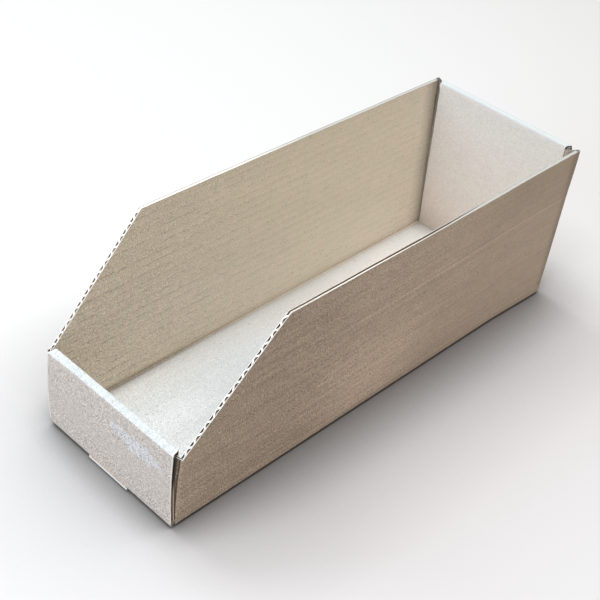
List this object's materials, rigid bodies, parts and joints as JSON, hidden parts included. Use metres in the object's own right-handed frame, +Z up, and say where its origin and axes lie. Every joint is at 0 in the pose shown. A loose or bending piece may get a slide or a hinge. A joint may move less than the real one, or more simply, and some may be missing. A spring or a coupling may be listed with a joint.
{
  "type": "cardboard storage bin",
  "caption": "Open-front corrugated cardboard storage bin, folded from one sheet, with sloped side edges, a low front lip and rolled-over end walls.",
  "frame": {"origin": "middle of the underside of the base, under the middle of the bin's box", "axes": "+Y from the low front lip to the tall back wall, +X to the right seen from the front, +Z up"},
  "size_m": [0.1496, 0.4, 0.14],
  "materials": {
    "kraft_board": "matte"
  },
  "bodies": {
    "root": {"folded_bin": "kraft_board"}
  },
  "joints": []
}
